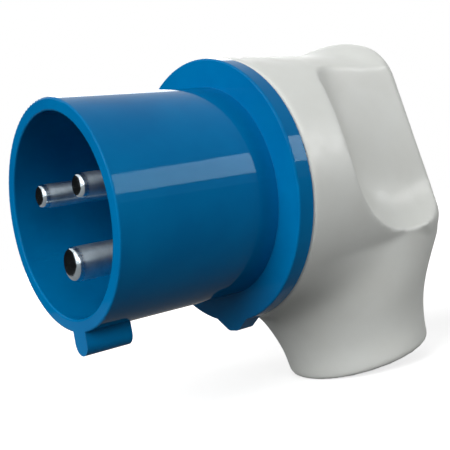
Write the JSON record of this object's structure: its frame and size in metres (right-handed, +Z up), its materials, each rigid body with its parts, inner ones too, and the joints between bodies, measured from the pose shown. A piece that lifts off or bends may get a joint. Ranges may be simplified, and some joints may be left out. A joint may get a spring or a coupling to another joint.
{
  "type": "right-angle industrial plug",
  "caption": "Right-angle industrial plug: round pins in a keyed round shroud, with an angled housing that has finger scoops and turns the cable entry down.",
  "frame": {"origin": "centre of the shroud's front rim, on the plug's axis", "axes": "-Y is the way the pins point and the plug goes into its socket, +Z is up with the cable entry down, +X is the side of the line pin"},
  "size_m": [0.058, 0.0992, 0.0789],
  "materials": {
    "shroud_blue": "smooth glossy blue moulding",
    "housing_grey": "light grey moulding with a soft sheen",
    "carrier_black": "dark moulding",
    "gland_grey": "mid grey moulding",
    "pin_nickel": "nickel plated, polished",
    "screw_steel": "zinc plated",
    "seal_rubber": "soft black seal"
  },
  "bodies": {
    "root": {"plug_shroud": "shroud_blue", "flange_seal": "seal_rubber", "pin_carrier": "carrier_black", "line_pin": "pin_nickel", "neutral_pin": "pin_nickel", "earth_pin": "pin_nickel", "retaining_plate": "carrier_black", "plate_screw": "screw_steel", "terminal_screws": "screw_steel", "assembly_screws": "screw_steel", "housing": "housing_grey", "slip_ring": "gland_grey", "gland_seal": "seal_rubber", "gland_insert": "gland_grey"}
  },
  "joints": []
}
